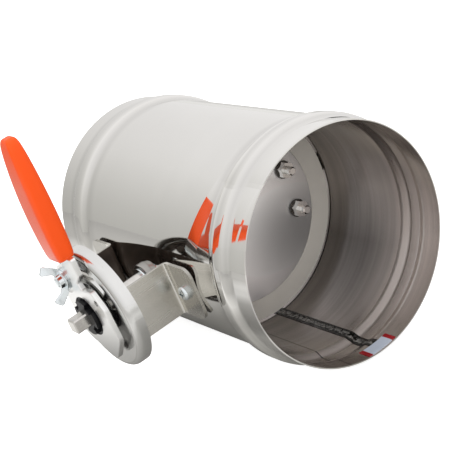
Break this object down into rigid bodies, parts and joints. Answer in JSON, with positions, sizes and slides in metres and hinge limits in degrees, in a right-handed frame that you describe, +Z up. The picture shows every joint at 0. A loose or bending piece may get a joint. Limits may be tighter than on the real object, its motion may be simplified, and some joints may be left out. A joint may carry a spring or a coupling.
{
  "type": "round duct damper",
  "caption": "Round steel duct damper: a beaded tube with a sealed butterfly blade turned by a side lever that a wing nut locks on an arc-slotted dial.",
  "frame": {"origin": "centre of the front mouth, in the plane of the rim", "axes": "+X along the duct's axis out of the front mouth, -Y along the shaft towards the lever, +Z up; the lever points to +Z with the blade closed"},
  "size_m": [0.2255, 0.2237, 0.2053],
  "materials": {
    "stainless_tube": "polished stainless steel",
    "stainless_bracket": "brushed stainless steel",
    "blade_sheet": "satin stainless steel",
    "bright_zinc": "zinc plated pressed steel",
    "blue_zinc": "blue passivated zinc plate",
    "shaft_steel": "ground stainless bar",
    "silicone": "soft matt silicone",
    "sealant": "rough dark sealant",
    "label": "smooth film",
    "black_nylon": "moulded, slight sheen",
    "bush_metal": "turned",
    "orange_grip": "moulded, semi-gloss"
  },
  "bodies": {
    "duct": {"duct_body": "stainless_tube", "seam_sealant": "sealant", "rim_label": "label", "near_bush": "bush_metal", "far_bush": "bush_metal", "bracket": "stainless_bracket", "bracket_screws": "blue_zinc", "bracket_nuts": "blue_zinc", "bracket_bush": "black_nylon", "dial_plate": "bright_zinc", "dial_rivets": "bright_zinc"},
    "valve": {"shaft": "shaft_steel", "shaft_clips": "blue_zinc", "spacer_sleeve": "shaft_steel", "blade_back_plate": "blade_sheet", "seal_ring": "silicone", "blade_front_plate": "blade_sheet", "shaft_saddles": "stainless_bracket", "saddle_bolts": "blue_zinc", "saddle_washers": "blue_zinc", "saddle_nuts": "blue_zinc", "lever_plate": "bright_zinc", "hub_insert": "black_nylon", "grip": "orange_grip", "lock_bolt": "blue_zinc", "lock_spacer": "blue_zinc", "lock_washer": "blue_zinc"},
    "locking_nut": {"wing_nut": "blue_zinc"}
  },
  "joints": [
    {"name": "lever_turn", "type": "hinge", "parent": "duct", "child": "valve", "pos_m": [-0.1175, 0, 0], "axis": [0, -1, 0], "range_deg": [0, 90]},
    {"name": "wing_nut_turn", "type": "hinge", "parent": "valve", "child": "locking_nut", "pos_m": [-0.1312, -0.125, 0.02471], "axis": [0, -1, 0], "continuous": true}
  ]
}
